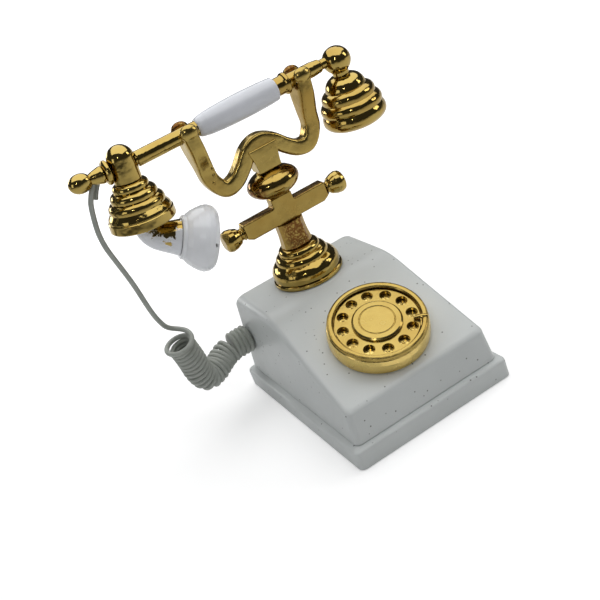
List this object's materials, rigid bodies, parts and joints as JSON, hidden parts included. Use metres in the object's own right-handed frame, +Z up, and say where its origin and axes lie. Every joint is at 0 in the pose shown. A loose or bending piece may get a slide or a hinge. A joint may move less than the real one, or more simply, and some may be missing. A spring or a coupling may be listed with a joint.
{
  "type": "rotary telephone",
  "caption": "Desk telephone with a wedge-shaped base, gilt rotary dial, cross-shaped pedestal, forked cradle, lift-off handset with mouth horn, and a curly cord.",
  "frame": {"origin": "middle of the base pad's underside, on the table", "axes": "+Z up, +Y towards the back, +X to the right of a caller facing the dial"},
  "size_m": [0.3181, 0.236, 0.3141],
  "materials": {
    "enamel": "satin white enamel with faint specks",
    "gilt": "bright gold plating",
    "porcelain": "glossy white",
    "steel": "plated",
    "brass_parts": "plain turned brass",
    "copper_winding": "enamelled winding",
    "black_plastic": "moulded",
    "board": "laminate",
    "rubber_pad": "matt black",
    "cord_sheath": "matt grey-white"
  },
  "bodies": {
    "base": {"plinth": "enamel", "body_shell": "enamel", "dial_housing": "gilt", "number_plate": "gilt", "finger_stop": "gilt", "pedestal_flange": "gilt", "pedestal_column": "gilt", "cross_block": "gilt", "knob_left": "gilt", "knob_right": "gilt", "bulb_collar": "gilt", "bottom_plate": "steel", "plate_screw_1": "steel", "plate_screw_2": "steel", "plate_screw_3": "steel", "plate_screw_4": "steel", "dial_frame": "steel", "dial_spring": "steel", "pedestal_nut": "steel", "rod_spring": "steel", "lever_bracket": "steel", "ringer_base": "steel", "gong_left": "brass_parts", "gong_right": "brass_parts", "ringer_coil": "copper_winding", "induction_coil": "copper_winding", "line_jack": "black_plastic", "pulse_contacts": "black_plastic", "hook_contacts": "black_plastic", "network_board": "board", "base_pad": "rubber_pad", "cord_gland": "cord_sheath", "cord_coil": "cord_sheath"},
    "dial_wheel": {"finger_wheel": "gilt", "dial_hub": "gilt", "dial_shaft": "steel", "dial_gear": "brass_parts"},
    "governor": {"governor_pinion": "brass_parts", "governor_drum": "steel"},
    "cradle": {"cradle_fork": "gilt", "hook_rod": "steel"},
    "hook_lever": {"hook_lever": "brass_parts"},
    "clapper": {"clapper": "steel"},
    "handset": {"handset_bar": "gilt", "grip": "porcelain", "grip_collar": "gilt", "finial_ring": "gilt", "finial": "gilt", "cord_tail": "cord_sheath", "transmitter_yoke": "gilt", "transmitter_shell": "gilt", "transmitter_capsule": "black_plastic", "transmitter_plate": "gilt", "mouth_horn": "gilt", "mouthpiece": "porcelain", "receiver_ball": "gilt", "receiver_shell": "gilt", "receiver_capsule": "black_plastic", "receiver_cap": "gilt", "cord_wire": "cord_sheath"}
  },
  "joints": [
    {"name": "dial_turn", "type": "hinge", "parent": "base", "child": "dial_wheel", "pos_m": [0, -0.0563, 0.0765], "axis": [0, -0.3891, 0.9212], "range_deg": [-315, 0], "stiffness_Nm_per_rad": 0.004},
    {"name": "governor_spin", "type": "hinge", "parent": "base", "child": "governor", "pos_m": [0, -0.03051, 0.0874], "axis": [0, -0.3891, 0.9212], "range_deg": [0, 945]},
    {"name": "cradle_lift", "type": "slide", "parent": "base", "child": "cradle", "axis": [0, 0, 1], "range_m": [0, 0.00501]},
    {"name": "hook_lever_turn", "type": "hinge", "parent": "base", "child": "hook_lever", "pos_m": [0, 0.034, 0.046], "axis": [1, 0, 0], "range_deg": [0, 10.3]},
    {"name": "clapper_swing", "type": "hinge", "parent": "base", "child": "clapper", "pos_m": [0, -0.004, 0.023], "axis": [0, 0, 1], "range_deg": [-4.5, 4.5], "stiffness_Nm_per_rad": 0.002},
    {"name": "handset_lift", "type": "slide", "parent": "base", "child": "handset", "axis": [-0.0995, 0, 0.995], "range_m": [0, 0.048]}
  ],
  "couplings": [
    {"joint": "governor_spin", "follows": "dial_turn", "ratio": -3},
    {"joint": "cradle_lift", "follows": "handset_lift", "ratio": 0.10417},
    {"joint": "hook_lever_turn", "follows": "handset_lift", "rad_per_m": 3.7188}
  ]
}
